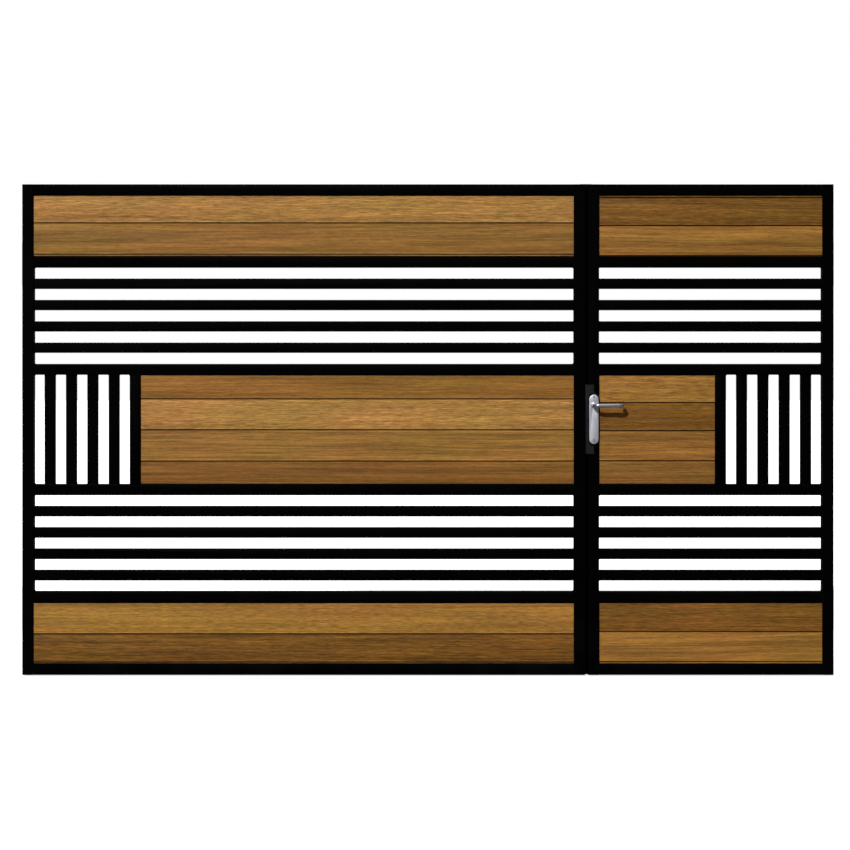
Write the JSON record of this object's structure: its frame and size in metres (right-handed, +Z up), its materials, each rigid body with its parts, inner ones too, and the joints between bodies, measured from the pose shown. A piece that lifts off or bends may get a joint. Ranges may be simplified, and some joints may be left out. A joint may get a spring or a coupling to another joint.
{
  "type": "double-leaf garden gate",
  "caption": "Double driveway gate with unequal leaves of black tube, board panels, open slat fields, a lever latch, post hinges and a drop bolt.",
  "frame": {"origin": "middle of the opening between the posts, on the leaves' mid-plane, level with the gate's lowest point (the foot of the meeting strip)", "axes": "+X along the gate towards the narrow leaf, +Y to the rear, the side both leaves open to, +Z up"},
  "size_m": [3, 0.155, 1.808],
  "materials": {
    "frame_paint": "satin",
    "hinge_paint": "satin",
    "lock_paint": "satin",
    "handle_metal": "satin",
    "zinc_steel": "satin",
    "board_dark": "matte",
    "board_medium": "matte",
    "board_light": "matte"
  },
  "bodies": {
    "posts": {"left_lower_hinge_bracket": "hinge_paint", "left_upper_hinge_bracket": "hinge_paint", "right_lower_hinge_bracket": "hinge_paint", "right_upper_hinge_bracket": "hinge_paint"},
    "left_leaf": {"left_hinge_stile": "frame_paint", "left_meeting_stile": "frame_paint", "left_top_rail": "frame_paint", "left_bottom_rail": "frame_paint", "left_inner_rail_1": "frame_paint", "left_inner_rail_2": "frame_paint", "left_inner_rail_3": "frame_paint", "left_inner_rail_4": "frame_paint", "left_mullion": "frame_paint", "left_lower_slats": "frame_paint", "left_upper_slats": "frame_paint", "left_side_slats": "frame_paint", "left_top_board_1": "board_medium", "left_top_board_2": "board_light", "left_middle_board_1": "board_dark", "left_middle_board_2": "board_medium", "left_middle_board_3": "board_light", "left_middle_board_4": "board_medium", "left_bottom_board_1": "board_dark", "left_bottom_board_2": "board_light", "left_lower_hinge_eye": "hinge_paint", "left_upper_hinge_eye": "hinge_paint", "strike_plate": "lock_paint", "drop_bolt_guide": "hinge_paint"},
    "right_leaf": {"right_hinge_stile": "frame_paint", "right_meeting_stile": "frame_paint", "right_top_rail": "frame_paint", "right_bottom_rail": "frame_paint", "right_inner_rail_1": "frame_paint", "right_inner_rail_2": "frame_paint", "right_inner_rail_3": "frame_paint", "right_inner_rail_4": "frame_paint", "right_mullion": "frame_paint", "right_lower_slats": "frame_paint", "right_upper_slats": "frame_paint", "right_side_slats": "frame_paint", "right_top_board_1": "board_medium", "right_top_board_2": "board_dark", "right_middle_board_1": "board_dark", "right_middle_board_2": "board_medium", "right_middle_board_3": "board_dark", "right_middle_board_4": "board_light", "right_bottom_board_1": "board_medium", "right_bottom_board_2": "board_dark", "right_lower_hinge_eye": "hinge_paint", "right_upper_hinge_eye": "hinge_paint", "meeting_strip": "frame_paint", "lock_case": "lock_paint", "lock_faceplate": "lock_paint", "front_backplate": "handle_metal", "rear_backplate": "handle_metal"},
    "handle": {"spindle": "zinc_steel", "front_lever": "handle_metal", "rear_lever": "handle_metal"},
    "latch": {"latch_bolt": "zinc_steel"},
    "bolt": {"drop_bolt": "zinc_steel"}
  },
  "joints": [
    {"name": "left_leaf_swing", "type": "hinge", "parent": "posts", "child": "left_leaf", "pos_m": [-1.462, 0.048, 0.271], "axis": [0, 0, 1], "range_deg": [0, 95]},
    {"name": "right_leaf_swing", "type": "hinge", "parent": "posts", "child": "right_leaf", "pos_m": [1.462, 0.048, 0.271], "axis": [0, 0, -1], "range_deg": [0, 95]},
    {"name": "handle_turn", "type": "hinge", "parent": "right_leaf", "child": "handle", "pos_m": [0.6083, 0, 0.994], "axis": [0, 1, 0], "range_deg": [0, 40], "stiffness_Nm_per_rad": 1.2, "springref_deg": -28.65},
    {"name": "latch_slide", "type": "slide", "parent": "right_leaf", "child": "latch", "axis": [1, 0, 0], "range_m": [0, 0.0103]},
    {"name": "drop_bolt_slide", "type": "slide", "parent": "left_leaf", "child": "bolt", "axis": [0, 0, -1], "range_m": [0, 0.1]}
  ],
  "couplings": [
    {"joint": "latch_slide", "follows": "handle_turn", "m_per_rad": 0.014732}
  ]
}
